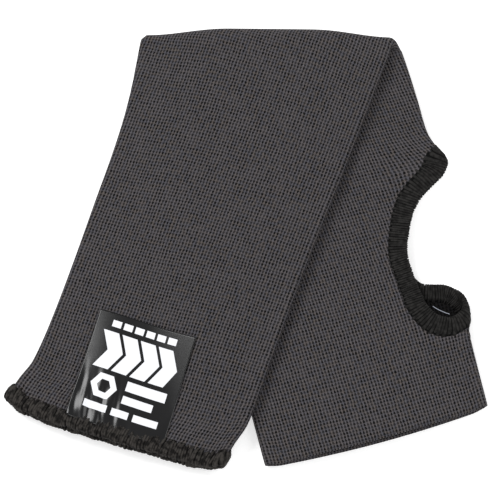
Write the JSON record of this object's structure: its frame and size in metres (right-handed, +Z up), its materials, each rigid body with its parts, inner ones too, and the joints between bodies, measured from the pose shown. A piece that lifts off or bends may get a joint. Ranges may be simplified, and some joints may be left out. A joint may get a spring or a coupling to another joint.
{
  "type": "cut resistant sleeve",
  "caption": "Knitted tube sleeve lying folded in two, with an overlocked upper-arm hem, an overlocked thumb slot and a thin tag.",
  "frame": {"origin": "below the middle of the folded sleeve's box, on the surface that it lies on", "axes": "+Z up off that surface, +X along the fold, -Y from the fold towards the two open ends"},
  "size_m": [0.244, 0.2348, 0.0191],
  "materials": {
    "knit": "matte heather jersey knit",
    "overlock_yarn": "matte bulky yarn",
    "tag": "glossy printed film"
  },
  "bodies": {
    "root": {"sleeve_body": "knit", "arm_hem": "overlock_yarn", "thumb_hem": "overlock_yarn", "label": "tag"}
  },
  "joints": []
}
